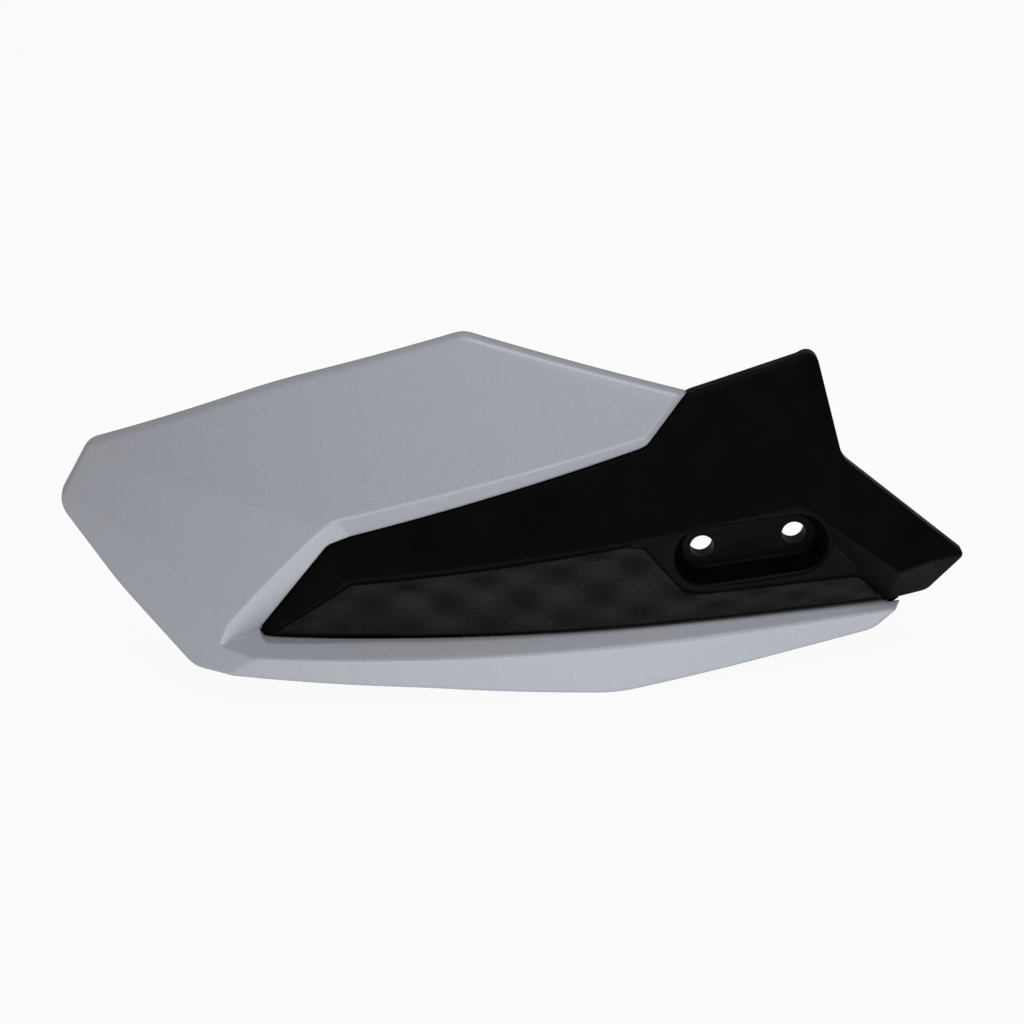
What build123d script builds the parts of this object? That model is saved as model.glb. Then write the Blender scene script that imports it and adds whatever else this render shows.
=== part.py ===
from build123d import *
import os
from dataclasses import dataclass
from math import ceil, cos, pi, radians, sin, sqrt

# Right-hand guard of a motorcycle handlebar, in millimetres. A painted outer shell is screwed from behind
# to a moulded carrier, and the carrier is bolted to the bike through two holes in an oblong pocket.
# X runs along the two holes towards the middle of the bike, Y along the bolts towards the rider, Z up.
# The origin lies between the two holes, on the rear seat that meets the bracket.

# Mount: two bolt holes through the floor of an oblong pocket
HOLE_SPACING = 27.0
HOLE_DIAMETER = 7.0
HOLE_WALL = 6.0
POCKET_DEPTH = 8.0
POCKET_FLOOR_WIDTH = 12.5
POCKET_MOUTH_WIDTH = 18.4
POCKET_FLOOR_RADIUS = 2.0
POCKET_LIP_RADIUS = 1.5

# Mouldings
BOW_RADIUS = 360.0
SHELL_WALL = 2.6
SHELL_DEPTH = 10.0
SHELL_RIM_DEPTH = 4.0
SHELL_EDGE_RADIUS = 1.8
CARRIER_WALL = 3.0
CARRIER_RIM_DEPTH = 4.0
CARRIER_EDGE_RADIUS = 1.2
SEAM_GAP = 0.4
SEAT_CLEARANCE = 0.1

# Carrier front: an upright panel below a ridge, and a slope that leans back above it
RIDGE_HEIGHT = 10.6
RIDGE_TILT = 0.078
SLOPE_LEAN = 0.33
PANEL_DROP = 20.4
PANEL_TILT = 0.029
WING_BEVEL_DEPTH = 2.0

# Shell front: upper face with a crown along its top, outer cheek, and the chin below the lip
UPPER_STEP = 2.75
UPPER_TURN = 0.036
UPPER_LEAN = 0.36
CROWN_HEIGHT = 37.0
CROWN_SLANT = 0.42
CROWN_FOLD = 0.13
CHEEK_STEP = 0.97
CHEEK_TURN = 0.025
CHEEK_LEAN = 0.24
LEDGE_DEPTH = 5.2
LEDGE_TURN = 0.03
LEDGE_LEAN = 1.9
CHIN_LEAN = 0.40
RECESS_LEAN = 0.546
RECESS_RUN = 0.17
RECESS_CORNER_RADIUS = 3.0
RECESS_EDGE_RADIUS = 0.7

# Dimpled field on the panel
DIMPLE_PITCH = 22.3
DIMPLE_ROW_PITCH = 8.6
DIMPLE_DEPTH = 0.6
DIMPLE_FADE = 3.0
DIMPLE_SAMPLES = 8
FIELD_STEP = 0.7

# Lap flange of the carrier behind the shell, with sockets for the shell's screw bosses
FLANGE_STEP = 4.0
FLANGE_THICKNESS = 2.5
SOCKET_DEPTH = 7.0
SOCKET_FLOOR = 2.5
SOCKET_WALL = 1.6
BOSS_DIAMETER = 7.2
BOSS_CLEARANCE = 0.3
BOSS_COVER = 1.2
SCREW_DIAMETER = 3.3
SCREW_CLEARANCE = 0.05
SCREW_HOLE_DIAMETER = 4.2
SCREW_LENGTH = 12.0
SCREW_RUNOUT = 1.0
SCREW_HEAD_DIAMETER = 7.6
SCREW_HEAD_HEIGHT = 2.6
SCREW_DRIVE_WIDTH = 3.0
SCREW_DRIVE_DEPTH = 1.4
SCREW_PLACES = [(-139.5, 2.0), (-106.0, 22.0), (-67.0, 30.6), (-37.0, 37.3), (-75.0, -28.0), (-33.0, -28.6)]

# Stiffening ribs behind the carrier
RIB_THICKNESS = 2.0
RIB_DEPTH = 5.0
PANEL_RIB_PITCH = 25.0
PANEL_RIB_COUNT = 4

# Far enough to pass every face of the guard
REACH = 400.0
REAR = 100.0
ON_FACE = 0.002
BOW_SPAN = radians(50)
PANEL_Y = -(HOLE_WALL + POCKET_DEPTH)


@dataclass(frozen=True)
class BentFace:
    """A moulded face that runs straight past the bolts and bows back outboard of them."""

    depth: float  # Y of the face at the origin's X and Z
    run: float  # slope of Y along X at the bolts
    lean: float  # slope of Y up Z

    def y(self, x, z):
        """Y of the face at a place in the front view."""
        if x >= 0:
            return self.depth + self.run * x + self.lean * z
        level = sqrt(1 + self.run**2)
        from_centre = x + self.run * BOW_RADIUS / level
        return self.depth + BOW_RADIUS / level - sqrt(BOW_RADIUS**2 - from_centre**2) + self.lean * z

    def at(self, x, z):
        return Vector(x, self.y(x, z), z)

    def moved_back(self, distance):
        """The same face, moved along its own normal at the bolts."""
        return BentFace(self.depth + distance * sqrt(1 + self.run**2 + self.lean**2), self.run, self.lean)

    def behind(self):
        """Everything behind the face: its plan curve, extruded along its lean."""
        level = sqrt(1 + self.run**2)
        start = Vector(0, self.depth)
        outward = Vector(-1, -self.run) / level
        rearward = Vector(-self.run, 1) / level
        centre = start + rearward * BOW_RADIUS
        middle, end = (
            centre - rearward * (BOW_RADIUS * cos(angle)) + outward * (BOW_RADIUS * sin(angle))
            for angle in (BOW_SPAN / 2, BOW_SPAN)
        )
        inboard = start - outward * REACH
        plan = Polyline((end.X, REACH), (inboard.X, REACH), inboard, start)
        plan += ThreePointArc(start, middle, end)
        plan += Line(end, (end.X, REACH))
        foot = Pos(0, -REACH / 2 * self.lean, -REACH / 2) * make_face(plan)
        climb = Vector(0, self.lean, 1)
        return extrude(foot, amount=REACH * climb.length, dir=climb)


@dataclass(frozen=True)
class FlatFace:
    """A short flat wall through three points of the guard."""

    points: tuple

    def plane(self):
        first, second, third = self.points
        normal = (second - first).cross(third - first)
        return Plane(first, x_dir=second - first, z_dir=normal if normal.Y > 0 else -normal)

    def y(self, x, z):
        """Y of the wall's plane at a place in the front view."""
        first, normal = self.points[0], self.plane().z_dir
        return first.Y - (normal.X * (x - first.X) + normal.Z * (z - first.Z)) / normal.Y

    def moved_back(self, distance):
        shift = self.plane().z_dir * distance
        return FlatFace(tuple(point + shift for point in self.points))

    def behind(self):
        """Everything behind the wall."""
        behind = Box(2 * REACH, 2 * REACH, REACH, align=(Align.CENTER, Align.CENTER, Align.MIN))
        return self.plane() * behind


def prism(outline):
    """A front-view outline, run through the whole depth of the guard."""
    return extrude(Plane.XZ * outline, amount=REACH, both=True)


def rounded(corners):
    """A front-view outline from its corners, each given as X, Z and corner radius."""
    path = FilletPolyline(*[(x, z) for x, z, _ in corners], radius=[r for _, _, r in corners], close=True)
    return make_face(path)


def grown(outline, distance):
    return offset(outline, amount=distance, kind=Kind.INTERSECTION)


# Faces of the carrier
PANEL = BentFace(PANEL_Y, 0, 0)
SLOPE = BentFace(PANEL_Y - SLOPE_LEAN * RIDGE_HEIGHT, -SLOPE_LEAN * RIDGE_TILT, SLOPE_LEAN)
RIDGE_OUTER_END = PANEL.at(-116.8, RIDGE_HEIGHT - 116.8 * RIDGE_TILT)
TIP_WALL = FlatFace((RIDGE_OUTER_END, PANEL.at(-146.0, -17.0), SLOPE.at(-121.6, 11.3)))
STEP_WALL = FlatFace((SLOPE.at(16.2, 11.0), SLOPE.at(40.9, -10.4), PANEL.at(30.9, -12.2)))
END_WALL = FlatFace((SLOPE.at(40.9, -10.4), SLOPE.at(52.9, -8.0), PANEL.at(39.0, -21.7)))
BEVEL_BACK = Vector(0, WING_BEVEL_DEPTH, 0)
UPPER_BEVEL = FlatFace((SLOPE.at(21.0, 48.9), SLOPE.at(24.2, 22.0), SLOPE.at(29.2, 23.0) + BEVEL_BACK))
LOWER_BEVEL = FlatFace((SLOPE.at(24.2, 22.0), SLOPE.at(52.0, -8.2), SLOPE.at(60.0, -7.5) + BEVEL_BACK))

# Faces of the shell, and the walls of the recess that the carrier fills
UPPER = BentFace(SLOPE.depth - UPPER_STEP, SLOPE.run + UPPER_TURN, UPPER_LEAN)
CHEEK = BentFace(UPPER.depth - CHEEK_STEP, UPPER.run - CHEEK_TURN, CHEEK_LEAN)
CROWN = BentFace(
    UPPER.depth - CROWN_FOLD * CROWN_HEIGHT, UPPER.run + CROWN_FOLD * CROWN_SLANT, UPPER_LEAN + CROWN_FOLD
)
JAW = FlatFace((CHEEK.at(-203.0, 24.0), CHEEK.at(-175.0, 8.5), CHEEK.at(-158.0, -9.0)))
LEDGE = BentFace(PANEL_Y + LEDGE_LEAN * PANEL_DROP, LEDGE_LEAN * PANEL_TILT, LEDGE_LEAN)
LIP_DROP = PANEL_DROP + LEDGE_DEPTH / LEDGE_LEAN
LIP_TILT = LEDGE_TURN / LEDGE_LEAN - PANEL_TILT
CHIN = BentFace(PANEL_Y - LEDGE_DEPTH - CHIN_LEAN * LIP_DROP, LEDGE_TURN + CHIN_LEAN * LIP_TILT, -CHIN_LEAN)
RECESS_TOP = BentFace(SLOPE.y(-26.2, 32.6) + RECESS_LEAN * 32.6 + RECESS_RUN * 26.2, RECESS_RUN, -RECESS_LEAN)
RECESS_OUTER = FlatFace((CHEEK.at(-159.0, -15.3), UPPER.at(-120.7, 18.9), PANEL.at(-146.0, -17.0)))
ARM_END = FlatFace((UPPER.at(-28.2, 34.6), UPPER.at(-13.7, 48.0), SLOPE.at(-26.2, 32.6)))


def carrier_outline():
    """Visible edge of the carrier in the front view."""
    return rounded([
        (-148.5, -18.0, 2), (-121.6, 11.3, 5), (-26.2, 32.6, 7), (-12.2, 46.2, 5), (26.4, 53.1, 4),
        (29.7, 22.5, 6),
        (60.9, -8.5, 2), (49.8, -21.6, 4), (38.5, -21.9, 4), (-20.0, -19.9, 200), (-110.0, -18.0, 200),
    ])


def shell_outline():
    """Edge of the shell in the front view, with the recess still closed."""
    return rounded([
        (-203.0, 20.8, 8), (-189.5, 40.2, 9), (-130.0, 58.1, 250), (-73.0, 69.4, 9), (8.0, 38.8, 15),
        (52.3, -13.0, 12),
        (32.8, -30.1, 9), (-44.0, -41.0, 40), (-100.0, -33.5, 300), (-168.2, -28.3, 7), (-187.7, -4.1, 80),
    ])


def flange_outline():
    """Lap flange of the carrier: the visible part, and a border behind the shell."""
    return rounded([
        (-153.5, -12.0, 4), (-127.0, 18.0, 6), (-36.0, 39.5, 4), (-26.0, 30.0, 0), (-20.0, -10.0, 0),
        (-20.0, -27.0, 4),
        (-100.0, -25.5, 4), (-112.0, -17.0, 0), (-147.0, -17.0, 0),
    ])


def field_outline():
    """Edge of the dimpled field on the panel."""
    return rounded([
        (-142.0, -16.6, 0), (-116.6, -0.6, 3), (-36.0, 6.3, 2), (-30.6, 5.2, 2), (-21.0, -9.6, 3),
        (-15.9, -11.2, 3),
        (30.2, -12.8, 3), (36.0, -20.5, 1), (-20.0, -18.7, 200), (-110.0, -16.8, 200),
    ])


CARRIER_EDGE = carrier_outline()
CARRIER_FRONT = (
    (SLOPE.behind() & TIP_WALL.behind() & END_WALL.behind())
    & (PANEL.behind() + STEP_WALL.behind())
    & (UPPER_BEVEL.behind() + LOWER_BEVEL.behind())
)
LAP = SLOPE.behind() & TIP_WALL.behind() & PANEL.behind()
SHELL_EDGE = shell_outline()
SHELL_FRONT = UPPER.behind() & CROWN.behind() & CHEEK.behind() & JAW.behind() & CHIN.behind()


def front_edges(solid):
    """Edges of a blank's front: all but those that run back and those at its far end."""
    ahead = solid.edges().filter_by(lambda edge: edge.center().Y < REAR)
    return ahead - ahead.filter_by(Axis.Y)


def edges_between(solid, first, second):
    """Edges of a solid where a face of the first group meets one of the second."""
    def touches(edge, faces):
        middle = edge.position_at(0.5)
        return any(abs(face.y(middle.X, middle.Z) - middle.Y) < ON_FACE for face in faces)

    return solid.edges().filter_by(lambda edge: touches(edge, first) and touches(edge, second))


def rod(place, radius, back, length):
    """A round bar along Y, from its back end towards the front."""
    x, z = place
    return Pos(x, back, z) * extrude(Plane.XZ * Circle(radius), amount=length)


def socket_floor(place):
    """Y of the floor that a screw boss stands on."""
    lap = max(face.y(*place) for face in (SLOPE, TIP_WALL, PANEL))
    return lap + FLANGE_STEP + SOCKET_DEPTH


def outer_shell():
    """Painted shell, open behind, with a recess for the carrier and bosses for the screws."""
    blank = fillet(front_edges(SHELL_FRONT & prism(SHELL_EDGE)), SHELL_EDGE_RADIUS)
    inside = prism(grown(SHELL_EDGE, -SHELL_WALL))
    blank -= Pos(0, SHELL_DEPTH, 0) * SHELL_FRONT
    blank -= Pos(0, SHELL_RIM_DEPTH, 0) * SHELL_FRONT - inside
    walls = [RECESS_TOP, ARM_END, RECESS_OUTER, LEDGE]
    shell = blank & recess_surround(walls)
    shell = fillet(edges_between(shell, [RECESS_TOP], [ARM_END, RECESS_OUTER]), RECESS_CORNER_RADIUS)
    shell = fillet(edges_between(shell, [LEDGE], [RECESS_OUTER]), RECESS_EDGE_RADIUS)
    shell = fillet(edges_between(shell, [UPPER, CROWN, CHEEK, JAW, CHIN], walls), RECESS_EDGE_RADIUS)
    hollow = Pos(0, SHELL_WALL, 0) * SHELL_FRONT & inside
    hollow = hollow & recess_surround([wall.moved_back(SHELL_WALL) for wall in walls])
    hollow -= prism(grown(CARRIER_EDGE, SEAM_GAP + SHELL_WALL))
    shell = shell - hollow - prism(grown(CARRIER_EDGE, SEAM_GAP))
    shell -= Pos(0, FLANGE_STEP - SEAT_CLEARANCE, 0) * LAP & prism(grown(flange_outline(), SHELL_WALL))
    deeper_walls = [wall.moved_back(BOSS_COVER) for wall in walls]
    covered = Pos(0, BOSS_COVER, 0) * SHELL_FRONT & recess_surround(deeper_walls)
    for place in SCREW_PLACES:
        end = socket_floor(place) - SEAT_CLEARANCE
        shell += rod(place, BOSS_DIAMETER / 2, end, REACH) & covered
        pilot_depth = SCREW_LENGTH - SOCKET_FLOOR + SCREW_RUNOUT
        shell -= rod(place, SCREW_DIAMETER / 2 + SCREW_CLEARANCE, end, pilot_depth)
    return shell


def recess_surround(walls):
    """What stands round the recess: above its top and arm end, beyond its outer wall, below its ledge."""
    top, arm_end, outer, ledge = walls
    return (top.behind() & arm_end.behind()) + outer.behind() + ledge.behind()


def slot(width, y):
    """Oblong round the two bolt holes, at a depth."""
    return Pos(0, y, 0) * (Plane.XZ * SlotCenterToCenter(HOLE_SPACING, width))


def mount_boss():
    """Tapered block behind the panel that carries the pocket and ends in the seat."""
    wall = 2 * CARRIER_WALL
    mouth = slot(POCKET_MOUTH_WIDTH + wall, PANEL_Y + CARRIER_WALL / 2)
    return loft([mouth, slot(POCKET_FLOOR_WIDTH + wall, 0)])


def pocket():
    """Tapered oblong pocket for the bolt heads, with both bolt holes."""
    bowl = loft([slot(POCKET_FLOOR_WIDTH, -HOLE_WALL), slot(POCKET_MOUTH_WIDTH, PANEL_Y)])
    bowl = fillet(bowl.faces().sort_by(Axis.Y)[-1].edges(), POCKET_FLOOR_RADIUS)
    bowl += extrude(slot(POCKET_MOUTH_WIDTH + 2 * POCKET_LIP_RADIUS, PANEL_Y), amount=POCKET_DEPTH)
    surround = bowl.faces().filter_by(Axis.Y).filter_by(lambda face: face.inner_wires())[0]
    bowl = fillet(surround.inner_wires()[0].edges(), POCKET_LIP_RADIUS)
    for side in (-1, 1):
        bowl += rod((side * HOLE_SPACING / 2, 0), HOLE_DIAMETER / 2, REACH / 2, REACH)
    return bowl


def dimpled_field():
    """Raised field on the panel with a staggered pattern of soft dimples, which fade out at its edge."""
    field = field_outline().face()
    edge = field.outer_wire()
    box = field.bounding_box()
    across = DIMPLE_PITCH / DIMPLE_SAMPLES
    upward = DIMPLE_ROW_PITCH / DIMPLE_SAMPLES
    columns = [box.min.X + across * i for i in range(-1, ceil(box.size.X / across) + 2)]
    rows = [box.min.Y + upward * j for j in range(-1, ceil(box.size.Y / upward) + 2)]

    def front(x, z):
        wave = cos(2 * pi * x / DIMPLE_PITCH) * cos(pi * (z + PANEL_DROP) / DIMPLE_ROW_PITCH)
        place = Vector(x, z)
        inset = edge.distance_to(place) if field.is_inside(place) else 0
        fade = sin(pi / 2 * min(1, inset / DIMPLE_FADE)) ** 2
        return Vector(x, PANEL.y(x, 0) - FIELD_STEP + DIMPLE_DEPTH * fade * wave, z)

    surface = Face.make_surface_from_array_of_points([[front(x, z) for z in rows] for x in columns])
    return extrude(surface, amount=CARRIER_WALL / 2, dir=(0, 1, 0)) & prism(field)


def flange():
    """Border of the carrier that laps behind the shell, with a socket for each screw boss."""
    back = Pos(0, FLANGE_STEP + FLANGE_THICKNESS, 0) * LAP
    step = (Pos(0, CARRIER_WALL / 2, 0) * LAP - back) & prism(CARRIER_EDGE)
    border = ((Pos(0, FLANGE_STEP, 0) * LAP - back) + step) & prism(flange_outline())
    bore = BOSS_DIAMETER / 2 + BOSS_CLEARANCE
    for place in SCREW_PLACES:
        back = socket_floor(place) + SOCKET_FLOOR
        border += rod(place, bore + SOCKET_WALL, back, REACH) & Pos(0, FLANGE_STEP, 0) * LAP
    border -= prism(grown(CARRIER_EDGE, -CARRIER_WALL))
    for place in SCREW_PLACES:
        border -= rod(place, bore, socket_floor(place), REACH)
        border -= rod(place, SCREW_HOLE_DIAMETER / 2, REACH / 2, REACH)
    return border


def ribs():
    """Upright ribs behind the bolt holes, and more of them outboard behind the panel."""
    depth = Pos(0, CARRIER_WALL / 2, 0) * CARRIER_FRONT - Pos(0, CARRIER_WALL + RIB_DEPTH, 0) * CARRIER_FRONT
    space = depth & prism(grown(CARRIER_EDGE, -CARRIER_WALL / 2))
    places = [HOLE_SPACING / 2]
    places += [-HOLE_SPACING / 2 - PANEL_RIB_PITCH * i for i in range(PANEL_RIB_COUNT + 1)]
    return [space & Pos(x, 0, 0) * Box(RIB_THICKNESS, REACH, REACH) for x in places]


def carrier():
    """Black moulding that the bike holds: front, rim, lap flange, ribs and the bolt pocket."""
    body = fillet(front_edges(CARRIER_FRONT & prism(CARRIER_EDGE)), CARRIER_EDGE_RADIUS)
    body -= Pos(0, CARRIER_RIM_DEPTH, 0) * CARRIER_FRONT
    body -= Pos(0, CARRIER_WALL, 0) * CARRIER_FRONT & prism(grown(CARRIER_EDGE, -CARRIER_WALL))
    body += flange()
    body += ribs()
    body += mount_boss()
    body += dimpled_field() & prism(CARRIER_EDGE)
    return body - pocket()


def screw(place):
    """Pan-head thread-forming screw, driven from behind."""
    seat = socket_floor(place) + SOCKET_FLOOR
    head = rod(place, SCREW_HEAD_DIAMETER / 2, seat + SCREW_HEAD_HEIGHT, SCREW_HEAD_HEIGHT)
    rear = head.faces().sort_by(Axis.Y)[-1]
    head = chamfer(rear.edges(), SCREW_HEAD_HEIGHT / 3)
    shank = rod(place, SCREW_DIAMETER / 2, seat, SCREW_LENGTH)
    point = shank.faces().sort_by(Axis.Y)[0]
    shank = chamfer(point.edges(), SCREW_DIAMETER / 4)
    drive = extrude(Plane.XZ * RegularPolygon(SCREW_DRIVE_WIDTH / 2, 6), amount=SCREW_DRIVE_DEPTH)
    x, z = place
    return head + shank - Pos(x, seat + SCREW_HEAD_HEIGHT, z) * drive


os.makedirs("parts", exist_ok=True)
export_step(outer_shell(), "parts/outer_shell.step")
export_step(carrier(), "parts/carrier.step")
export_step(Compound([screw(place) for place in SCREW_PLACES]), "parts/shell_screws.step")
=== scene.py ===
# %% [markdown]
# # A motorcycle hand guard
# The guard is a painted outer shell round a black moulded carrier, screwed together from behind. It
# bolts to a bracket on the handlebar through two holes at the bottom of an oblong pocket. Its shape
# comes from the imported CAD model, which is loaded as a fixed frame in metres. What follows dresses
# that frame: two small strips that the joint still needs, the finishes, the light, the floor and
# the camera.

import math

import bmesh
import bpy
from mathutils import Matrix, Vector


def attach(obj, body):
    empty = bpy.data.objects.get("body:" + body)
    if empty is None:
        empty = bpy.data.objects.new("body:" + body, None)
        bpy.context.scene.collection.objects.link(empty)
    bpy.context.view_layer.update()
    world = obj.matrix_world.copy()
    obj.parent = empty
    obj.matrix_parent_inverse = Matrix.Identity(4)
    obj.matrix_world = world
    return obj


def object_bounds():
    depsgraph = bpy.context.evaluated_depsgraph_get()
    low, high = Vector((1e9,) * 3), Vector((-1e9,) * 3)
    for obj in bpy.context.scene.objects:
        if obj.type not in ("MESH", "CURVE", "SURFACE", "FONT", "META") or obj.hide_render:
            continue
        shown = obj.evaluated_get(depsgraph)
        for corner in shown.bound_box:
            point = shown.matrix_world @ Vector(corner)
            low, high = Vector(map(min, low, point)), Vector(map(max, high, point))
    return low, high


MM = 0.001

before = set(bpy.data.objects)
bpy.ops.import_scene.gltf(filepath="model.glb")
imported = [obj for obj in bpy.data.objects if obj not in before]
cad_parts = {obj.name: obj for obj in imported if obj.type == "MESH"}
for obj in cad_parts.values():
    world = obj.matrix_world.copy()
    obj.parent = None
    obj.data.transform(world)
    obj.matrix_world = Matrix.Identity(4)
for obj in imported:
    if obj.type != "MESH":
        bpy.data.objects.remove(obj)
cad_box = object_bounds()
print("nodes:", sorted(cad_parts))
print("box:", [tuple(round(v, 4) for v in corner) for corner in cad_box])

# %% [markdown]
# ## Camera
# The guard is seen from the front and a little from above, with a long lens and the camera rolled,
# so that the inboard end climbs to the right. A camera's axes are the columns of its matrix: right,
# up and backwards. Writing them out from the elevation and the roll is clearer here than three
# Euler angles. The eye is given in metres, the lens and its sensor in millimetres.

# %% Camera
ELEVATION = math.radians(23.5)
ROLL = math.radians(8.5)
EYE = Vector((-0.0667, -0.91584, 0.41537))
LENS = 120.8
SENSOR = 36.0
NEAREST_SEEN = 0.05
FARTHEST_SEEN = 50.0

level_right = Vector((1, 0, 0))
level_up = Vector((0, math.sin(ELEVATION), math.cos(ELEVATION)))
backwards = Vector((0, -math.cos(ELEVATION), math.sin(ELEVATION)))
camera_right = level_right * math.cos(ROLL) - level_up * math.sin(ROLL)
camera_up = level_right * math.sin(ROLL) + level_up * math.cos(ROLL)

camera_data = bpy.data.cameras.new("camera")
camera_data.lens = LENS
camera_data.sensor_width = SENSOR
camera_data.clip_start = NEAREST_SEEN
camera_data.clip_end = FARTHEST_SEEN
camera = bpy.data.objects.new("camera", camera_data)
camera_turn = Matrix((camera_right, camera_up, backwards)).transposed()
camera.matrix_world = Matrix.Translation(EYE) @ camera_turn.to_4x4()
bpy.context.scene.collection.objects.link(camera)
bpy.context.scene.camera = camera
print("camera at", tuple(round(v, 3) for v in camera.location))

# %% [markdown]
# ## Helpers for materials
# Every finish is one principled shader with a few textures in front of it. The helpers keep those
# trees short. The first ones make a material or a node and join two sockets. The others add a
# noise, turn a texture into a range of numbers or of colours, mix two colours, and give the surface
# a relief. Textures are counted in cells per metre, because Object coordinates are in metres.

# %% Material helpers
EDGE_SAMPLES = 6


def new_material(name):
    """A material with a plain principled shader, with its node tree and the shader node."""
    material = bpy.data.materials.new(name)
    material.use_nodes = True
    tree = material.node_tree
    return material, tree, tree.nodes["Principled BSDF"]


def add_node(tree, kind, settings=None, **sockets):
    """A node of that kind, with its settings and the values of its sockets."""
    node = tree.nodes.new(kind)
    for name, value in (settings or {}).items():
        setattr(node, name, value)
    for name, value in sockets.items():
        node.inputs[name.replace("_", " ")].default_value = value
    return node


def join(tree, source, output, target, socket):
    tree.links.new(source.outputs[output], target.inputs[socket])


def noise(tree, place, per_metre, detail):
    """Soft noise that stays with the piece."""
    node = add_node(tree, "ShaderNodeTexNoise", Scale=per_metre, Detail=detail)
    join(tree, place, "Object", node, "Vector")
    return node


def number_range(tree, source, output, low, high, start=0.0, end=1.0):
    """The source's values from start to end, spread from low to high."""
    settings = {"interpolation_type": "SMOOTHSTEP"}
    limits = {"From_Min": start, "From_Max": end, "To_Min": low, "To_Max": high}
    node = add_node(tree, "ShaderNodeMapRange", settings, **limits)
    join(tree, source, output, node, "Value")
    return node


def colour_range(tree, source, output, dark, light, start=0.0, end=1.0):
    """The source's values from start to end, spread from a dark to a light colour."""
    node = add_node(tree, "ShaderNodeValToRGB")
    stops = ((start, dark), (end, light))
    for element, (position, colour) in zip(node.color_ramp.elements, stops):
        element.position = position
        element.color = (*colour, 1)
    join(tree, source, output, node, "Fac")
    return node


def mixed_colour(tree, share, first, second):
    """The colour of one node where the share is 0, and of the other where it is 1."""
    node = add_node(tree, "ShaderNodeMix", {"data_type": "RGBA"})
    tree.links.new(share.outputs[0], node.inputs["Factor"])
    tree.links.new(first.outputs["Color"], node.inputs["A"])
    tree.links.new(second.outputs["Color"], node.inputs["B"])
    return node


def relief(tree, shader, texture, strength, depth, rounding):
    """Lets the texture stand up by that depth, and shades edges as if rounded by that radius."""
    edges = add_node(tree, "ShaderNodeBevel", {"samples": EDGE_SAMPLES}, Radius=rounding)
    bump = add_node(tree, "ShaderNodeBump", Strength=strength, Distance=depth)
    join(tree, edges, "Normal", bump, "Normal")
    join(tree, texture, 0, bump, "Height")
    join(tree, bump, "Normal", shader, "Normal")


# %% [markdown]
# ## Silver paint
# The shell is a plastic moulding, sprayed from the front with a silver base coat and a satin clear
# coat. Close up the paint has tiny flakes that are a little lighter or darker than their
# neighbours, and a slight orange peel. A cell texture of a third of a millimetre makes the flakes,
# and a slower noise in the relief makes the peel. The spray reaches the front and the edges only.
# The way a face is turned tells where it went: faces turned to the rider stay bare dark plastic,
# with a soft border of overspray.

# %% Silver paint
FLAKES_PER_METRE = 3000
PEEL_PER_METRE = 650
PEEL_DEPTH = 0.1 * MM
PEEL_STRENGTH = 0.15
PAINT_ROUNDING = 1.5 * MM
SILVER_DARK = (0.443, 0.459, 0.506)
SILVER_LIGHT = (0.503, 0.521, 0.572)
BARE_DARK = (0.026, 0.026, 0.028)
BARE_LIGHT = (0.038, 0.038, 0.040)
BARE_CLOUDS_PER_METRE = 90
BARE_SPREAD = (0.3, 0.7)
SPRAYED_TURN = 0.25
BARE_TURN = 0.65
COAT_ROUGHNESS = 0.14
PAINTED_OR_BARE = [
    ("Metallic", 0.25, 0.0),
    ("Roughness", 0.52, 0.6),
    ("Specular IOR Level", 0.3, 0.2),
    ("Coat Weight", 0.5, 0.0),
]


def silver_paint():
    material, tree, shader = new_material("silver_paint")
    place = add_node(tree, "ShaderNodeTexCoord")
    turned = add_node(tree, "ShaderNodeSeparateXYZ")
    join(tree, place, "Normal", turned, "Vector")
    bare = number_range(tree, turned, "Y", 0, 1, SPRAYED_TURN, BARE_TURN)
    flakes = add_node(tree, "ShaderNodeTexVoronoi", Scale=FLAKES_PER_METRE)
    join(tree, place, "Object", flakes, "Vector")
    silver = colour_range(tree, flakes, "Color", SILVER_DARK, SILVER_LIGHT)
    clouds = noise(tree, place, BARE_CLOUDS_PER_METRE, detail=3)
    plastic = colour_range(tree, clouds, "Fac", BARE_DARK, BARE_LIGHT, *BARE_SPREAD)
    colour = mixed_colour(tree, bare, silver, plastic)
    tree.links.new(colour.outputs["Result"], shader.inputs["Base Color"])
    for socket, painted, unpainted in PAINTED_OR_BARE:
        join(tree, number_range(tree, bare, 0, painted, unpainted), 0, shader, socket)
    shader.inputs["Coat Roughness"].default_value = COAT_ROUGHNESS
    peel = noise(tree, place, PEEL_PER_METRE, detail=1)
    relief(tree, shader, peel, PEEL_STRENGTH, PEEL_DEPTH, PAINT_ROUNDING)
    return material


# %% [markdown]
# ## Black grained plastic
# The carrier is moulded in black plastic. Its smooth faces are nearly as dark as their shadows. The
# dimpled field was etched more coarsely in the mould, so it is greyer and speckled. Five straight
# edges bound the field, so its share of the finish is found from signed distances to five lines,
# seen from the front. Their corners are given as x and z in millimetres. All faces have a fine
# grain in relief, and patches that are a little more or less dull.

# %% Black plastic
FIELD_CORNERS = [(-142.0, -16.6), (-116.6, -0.6), (-36.0, 6.3)]
FIELD_STEP = [(-30.6, 5.2), (-21.0, -9.6)]
FIELD_ARM = [(-15.9, -11.2), (30.2, -12.8), (36.0, -20.5)]
FIELD_BORDER = (-0.1 * MM, 0.3 * MM)
GRAIN_PER_METRE = 1800
GRAIN_DEPTH = 0.12 * MM
GRAIN_STRENGTH = 0.5
MOULDED_ROUNDING = 0.6 * MM
SPECKLES_PER_METRE = 2200
BLOTCHES_PER_METRE = 70
SMOOTH_DARK = (0.0012, 0.0012, 0.0013)
SMOOTH_LIGHT = (0.0018, 0.0018, 0.0019)
FIELD_DARK = (0.0008, 0.0008, 0.0009)
FIELD_LIGHT = (0.0090, 0.0088, 0.0092)
SMOOTH_SPREAD = (0.35, 0.65)
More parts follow.
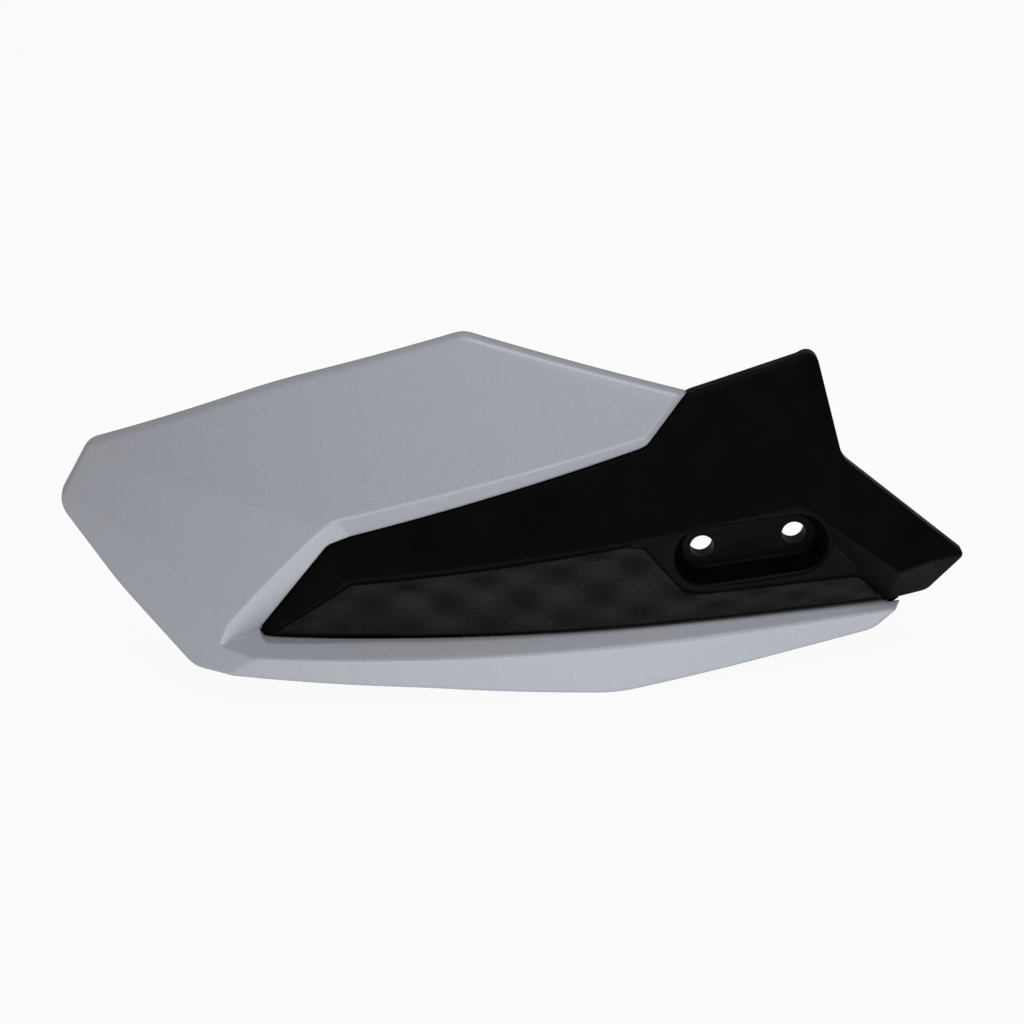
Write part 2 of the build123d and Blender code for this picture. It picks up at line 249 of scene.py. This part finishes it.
FIELD_SPREAD = (0.35, 0.7)
BLOTCH_SPREAD = (0.35, 0.65)
BLOTCH_ROUGHNESS = (0.34, 0.50)
SMOOTH_SPECULAR = 0.06
FIELD_SPECULAR = 0.11


def below_line(tree, place, start, end):
    """Distance below a line that runs from left to right in the front view, in metres."""
    run, rise = end[0] - start[0], end[1] - start[1]
    length = math.hypot(run, rise)
    down = (rise / length, 0, -run / length)
    along = add_node(tree, "ShaderNodeVectorMath", {"operation": "DOT_PRODUCT"})
    along.inputs[1].default_value = down
    join(tree, place, "Object", along, 0)
    distance = add_node(tree, "ShaderNodeMath", {"operation": "SUBTRACT"})
    distance.inputs[1].default_value = (down[0] * start[0] + down[2] * start[1]) * MM
    join(tree, along, "Value", distance, 0)
    return distance


def combined(tree, operation, first, second):
    node = add_node(tree, "ShaderNodeMath", {"operation": operation})
    join(tree, first, "Value", node, 0)
    join(tree, second, "Value", node, 1)
    return node


def field_share(tree, place):
    """1 inside the dimpled field and 0 outside it."""
    left = below_line(tree, place, *FIELD_CORNERS[:2])
    top = below_line(tree, place, *FIELD_CORNERS[1:])
    step = below_line(tree, place, *FIELD_STEP)
    arm = below_line(tree, place, *FIELD_ARM[:2])
    right = below_line(tree, place, *FIELD_ARM[1:])
    wide = combined(tree, "MINIMUM", left, top)
    stepped = combined(tree, "MAXIMUM", step, arm)
    inside = combined(tree, "MINIMUM", combined(tree, "MINIMUM", wide, stepped), right)
    return number_range(tree, inside, 0, 0, 1, *FIELD_BORDER)


def black_plastic():
    material, tree, shader = new_material("black_plastic")
    place = add_node(tree, "ShaderNodeTexCoord")
    field = field_share(tree, place)
    speckles = noise(tree, place, SPECKLES_PER_METRE, detail=1)
    blotches = noise(tree, place, BLOTCHES_PER_METRE, detail=3)
    smooth = colour_range(tree, speckles, "Fac", SMOOTH_DARK, SMOOTH_LIGHT, *SMOOTH_SPREAD)
    etched = colour_range(tree, speckles, "Fac", FIELD_DARK, FIELD_LIGHT, *FIELD_SPREAD)
    colour = mixed_colour(tree, field, smooth, etched)
    tree.links.new(colour.outputs["Result"], shader.inputs["Base Color"])
    roughness = number_range(tree, blotches, "Fac", *BLOTCH_ROUGHNESS, *BLOTCH_SPREAD)
    join(tree, roughness, 0, shader, "Roughness")
    specular = number_range(tree, field, 0, SMOOTH_SPECULAR, FIELD_SPECULAR)
    join(tree, specular, 0, shader, "Specular IOR Level")
    grain = noise(tree, place, GRAIN_PER_METRE, detail=2)
    relief(tree, shader, grain, GRAIN_STRENGTH, GRAIN_DEPTH, MOULDED_ROUNDING)
    return material


# %% [markdown]
# ## Zinc-plated steel
# The six small screws behind the guard are plated steel. Zinc is pale and slightly dull, and no two
# spots of it are equally so, which a fine noise in the colour and in the roughness shows.

# %% Screw steel
ZINC_DARK = (0.46, 0.47, 0.49)
ZINC_LIGHT = (0.58, 0.59, 0.61)
ZINC_SPOTS_PER_METRE = 700
ZINC_SPREAD = (0.3, 0.7)
ZINC_ROUGHNESS = (0.28, 0.45)


def screw_steel():
    material, tree, shader = new_material("screw_steel")
    place = add_node(tree, "ShaderNodeTexCoord")
    spots = noise(tree, place, ZINC_SPOTS_PER_METRE, detail=3)
    colour = colour_range(tree, spots, "Fac", ZINC_DARK, ZINC_LIGHT, *ZINC_SPREAD)
    join(tree, colour, "Color", shader, "Base Color")
    roughness = number_range(tree, spots, "Fac", *ZINC_ROUGHNESS)
    join(tree, roughness, 0, shader, "Roughness")
    shader.inputs["Metallic"].default_value = 1.0
    return material


# %% Put the finishes on the CAD nodes
FINISHES = {
    "outer_shell": silver_paint(),
    "carrier": black_plastic(),
    "shell_screws": screw_steel(),
}
for node_name, finish in FINISHES.items():
    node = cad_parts[node_name]
    node.data.materials.clear()
    node.data.materials.append(finish)
    print(node_name, len(node.data.polygons), "triangles in", finish.name)

# %% [markdown]
# ## Lap strips
# The carrier laps behind the shell's ledge, so that no light shows through the joint. The CAD model
# has such a lap over most of the length, but not under the pointed outer end or at the very end of
# the lip, and two narrow strips close it there. Each strip is a bar with a rectangular section that
# follows the carrier's front edge: its stations give the edge's place and how far the bar reaches
# up into the carrier and down behind the ledge, all in millimetres.

# %% Lap strips
STRIP_INSET = 1.2
STRIP_THICKNESS = 2.0
STRIP_ROUNDING = 0.25
SHARP = math.radians(40)
OUTER_STATIONS = [
    (-149.4, 18.52, -12.6, -19.0),
    (-148.2, 17.95, -13.6, -20.4),
    (-146.0, 16.95, -17.0, -21.2),
    (-144.0, 16.07, -17.4, -21.5),
    (-137.0, 13.10, -17.4, -21.5),
    (-130.0, 10.31, -17.4, -21.5),
    (-120.0, 6.61, -17.4, -21.5),
    (-110.0, 3.23, -17.4, -21.5),
    (-106.0, 1.96, -17.4, -21.5),
]
INNER_STATIONS = [
    (36.5, -14.60, -21.2, -24.2),
    (39.0, -14.52, -21.2, -23.4),
    (41.2, -14.10, -21.2, -22.3),
]


def hanging_strip(name, stations):
    """A bar through stations (x, front edge y, top z, bottom z), in millimetres."""
    shape = bmesh.new()
    rings = []
    for x, edge, top, bottom in stations:
        near = edge + STRIP_INSET
        far = near + STRIP_THICKNESS
        corners = [(x, near, top), (x, near, bottom), (x, far, bottom), (x, far, top)]
        rings.append([shape.verts.new(Vector(corner) * MM) for corner in corners])
    for ring, following in zip(rings, rings[1:]):
        for i in range(len(ring)):
            j = (i + 1) % len(ring)
            shape.faces.new((ring[i], ring[j], following[j], following[i]))
    shape.faces.new(rings[0])
    shape.faces.new(rings[-1])
    bmesh.ops.recalc_face_normals(shape, faces=shape.faces)
    sharp = [edge for edge in shape.edges if edge.calc_face_angle() > SHARP]
    bmesh.ops.bevel(
        shape,
        geom=sharp,
        offset=STRIP_ROUNDING * MM,
        segments=2,
        profile=0.5,
        affect="EDGES",
        material=-1,
    )
    mesh = bpy.data.meshes.new(name)
    shape.to_mesh(mesh)
    shape.free()
    mesh.materials.append(FINISHES["carrier"])
    strip = bpy.data.objects.new(name, mesh)
    bpy.context.scene.collection.objects.link(strip)
    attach(strip, "root")
    return strip


STRIPS = {"outer_lap_strip": OUTER_STATIONS, "inner_lap_strip": INNER_STATIONS}
for strip_name, strip_stations in STRIPS.items():
    strip = hanging_strip(strip_name, strip_stations)
    strip_size = [round(v / MM, 1) for v in strip.dimensions]
    print(strip_name, strip_size, "mm,", len(strip.data.polygons), "faces")

# %% [markdown]
# ## Floor and light
# The guard is lit as if it stood on a lit white table, so that much of its light comes from below
# and in front: the lip is its brightest face, and the black panel shows only because it is turned
# down towards the table. A lamp under the floor stands for the table, and the floor lets it
# through. One softbox hangs close above the front, so that the top of the shell is brighter than
# its foot, and an even surround does the rest. The floor keeps a faint shadow. It looks white
# because it glows for the camera, and a little for reflections, but lights nothing else. Places
# and sizes are in metres.

# %% Floor
FLOOR_SIZE = 4.0
FLOOR_GAP = 0.5 * MM
FLOOR_COLOUR = (0.86, 0.86, 0.86, 1)
FLOOR_ROUGHNESS = 0.9
FLOOR_SPECULAR = 0.1
FLOOR_WHITENESS = 0.94
FLOOR_REFLECTED = 0.1
WHITE = (1, 1, 1, 1)

floor_mesh = bpy.data.meshes.new("floor")
shape = bmesh.new()
bmesh.ops.create_grid(shape, x_segments=1, y_segments=1, size=FLOOR_SIZE)
bmesh.ops.translate(shape, vec=(0, 0, cad_box[0].z - FLOOR_GAP), verts=shape.verts)
shape.to_mesh(floor_mesh)
shape.free()
floor = bpy.data.objects.new("floor", floor_mesh)
bpy.context.scene.collection.objects.link(floor)
floor.visible_shadow = False

floor_material, floor_tree, floor_shader = new_material("pale_floor")
floor_shader.inputs["Base Color"].default_value = FLOOR_COLOUR
floor_shader.inputs["Roughness"].default_value = FLOOR_ROUGHNESS
floor_shader.inputs["Specular IOR Level"].default_value = FLOOR_SPECULAR
white = add_node(floor_tree, "ShaderNodeEmission", Color=WHITE, Strength=1.0)
light_path = add_node(floor_tree, "ShaderNodeLightPath")
seen = add_node(floor_tree, "ShaderNodeMath", {"operation": "MAXIMUM"})
glow_shares = (("Is Camera Ray", FLOOR_WHITENESS), ("Is Glossy Ray", FLOOR_REFLECTED))
for i, (ray, share) in enumerate(glow_shares):
    join(floor_tree, number_range(floor_tree, light_path, ray, 0, share), 0, seen, i)
blend = add_node(floor_tree, "ShaderNodeMixShader")
join(floor_tree, seen, "Value", blend, 0)
join(floor_tree, floor_shader, "BSDF", blend, 1)
join(floor_tree, white, "Emission", blend, 2)
join(floor_tree, blend, "Shader", floor_tree.nodes["Material Output"], "Surface")
floor_mesh.materials.append(floor_material)

# %% Lamps
GUARD_MIDDLE = Vector((-0.07, 0, 0))
KEY_PLACE = (0.0, -0.22, 0.40)
KEY_SIZE = (0.4, 0.24)
KEY_WATTS = 0.76
TABLE_PLACE = (-0.11, -0.40, -0.40)
TABLE_SIZE = (1.2, 0.5)
TABLE_WATTS = 2.4


def softbox(name, place, size, watts):
    """A rectangular lamp that faces the guard."""
    lamp = bpy.data.lights.new(name, "AREA")
    lamp.shape = "RECTANGLE"
    lamp.size, lamp.size_y = size
    lamp.energy = watts
    holder = bpy.data.objects.new(name, lamp)
    holder.location = place
    holder.rotation_mode = "QUATERNION"
    holder.rotation_quaternion = (GUARD_MIDDLE - Vector(place)).to_track_quat("-Z", "Y")
    bpy.context.scene.collection.objects.link(holder)
    return lamp


softbox("key_softbox", KEY_PLACE, KEY_SIZE, KEY_WATTS)
table_light = softbox("table_light", TABLE_PLACE, TABLE_SIZE, TABLE_WATTS)
table_light.cycles.use_multiple_importance_sampling = False

# %% World
AMBIENT = 0.32
BACKDROP = 0.97
world = bpy.data.worlds.new("studio")
bpy.context.scene.world = world
world.use_nodes = True
sky = world.node_tree
ambient = sky.nodes["Background"]
ambient.inputs["Color"].default_value = WHITE
ambient.inputs["Strength"].default_value = AMBIENT
backdrop = add_node(sky, "ShaderNodeBackground", Color=WHITE, Strength=BACKDROP)
sky_path = add_node(sky, "ShaderNodeLightPath")
sky_blend = add_node(sky, "ShaderNodeMixShader")
join(sky, sky_path, "Is Camera Ray", sky_blend, 0)
join(sky, ambient, "Background", sky_blend, 1)
join(sky, backdrop, "Background", sky_blend, 2)
join(sky, sky_blend, "Shader", sky.nodes["World Output"], "Surface")
bpy.context.scene.view_settings.view_transform = "Standard"
